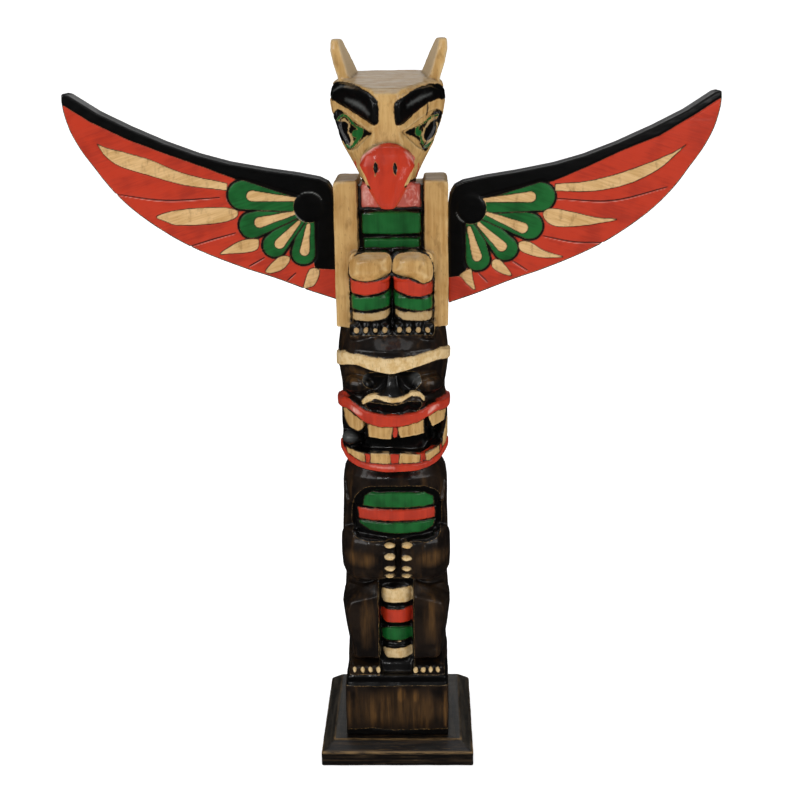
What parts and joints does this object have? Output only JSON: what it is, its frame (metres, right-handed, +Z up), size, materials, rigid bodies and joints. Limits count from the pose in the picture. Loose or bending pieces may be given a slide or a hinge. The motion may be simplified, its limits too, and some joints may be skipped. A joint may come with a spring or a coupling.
{
  "type": "totem pole",
  "caption": "Carved and painted wooden totem pole: an eagle with spread wing boards above a seated bear, on a plain block and a square plate.",
  "frame": {"origin": "middle of the plate's underside", "axes": "+Z up the pole, -Y out of the figures' faces, +X towards the right wing as the pole is faced"},
  "size_m": [0.4302, 0.1076, 0.4958],
  "materials": {
    "stained_plate": "near-black stain under a satin varnish, worn brown at the edges",
    "painted_carving": "dark stain, red, green, black and bare varnished wood, glossy",
    "painted_wing": "bare varnished wood with red, green and black paint in carved outlines, glossy"
  },
  "bodies": {
    "root": {"base_plate": "stained_plate", "pole": "painted_carving", "wing_left": "painted_wing", "wing_right": "painted_wing"}
  },
  "joints": []
}
